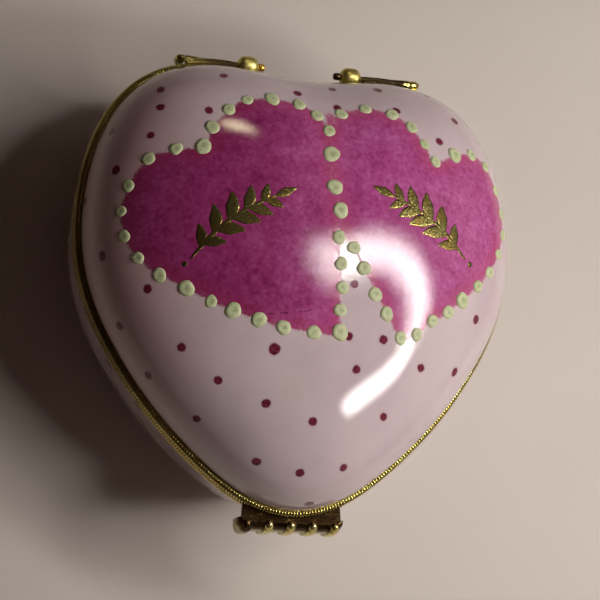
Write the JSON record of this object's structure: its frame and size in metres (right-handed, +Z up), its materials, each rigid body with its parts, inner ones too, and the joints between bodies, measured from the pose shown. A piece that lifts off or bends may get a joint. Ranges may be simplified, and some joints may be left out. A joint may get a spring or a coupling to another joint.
{
  "type": "heart-shaped trinket box",
  "caption": "Heart-shaped porcelain trinket box with domed hinged lid, reeded brass mounts at the seam, back hinges and a ribbed clasp tongue at the tip.",
  "frame": {"origin": "middle of the overall plan, on the plane that the foot ring stands on", "axes": "+Z up through the lid, +Y towards the hinges at the cleft, -Y towards the clasp at the tip of the heart, +X across the box"},
  "size_m": [0.05, 0.0528, 0.0287],
  "materials": {
    "porcelain": "glossy fired glaze",
    "gilt_brass": "polished, fine reeding on the beads",
    "pin_brass": "drawn wire",
    "bedding": "matt plaster"
  },
  "bodies": {
    "base": {"base_porcelain": "porcelain", "base_cement_bed": "bedding", "base_collar": "gilt_brass", "base_gorge": "gilt_brass", "clasp_catch": "gilt_brass", "hinge_base_leaf_left": "gilt_brass", "hinge_base_leaf_right": "gilt_brass", "hinge_pin_left": "pin_brass", "hinge_pin_right": "pin_brass"},
    "lid": {"lid_porcelain": "porcelain", "lid_cement_bed": "bedding", "lid_collar": "gilt_brass", "hinge_lid_leaf_left": "gilt_brass", "hinge_lid_leaf_right": "gilt_brass", "clasp_plate": "gilt_brass"}
  },
  "joints": [
    {"name": "lid_hinge", "type": "hinge", "parent": "base", "child": "lid", "pos_m": [0, 0.02528, 0.017], "axis": [-1, 0, 0], "range_deg": [0, 100]}
  ]
}
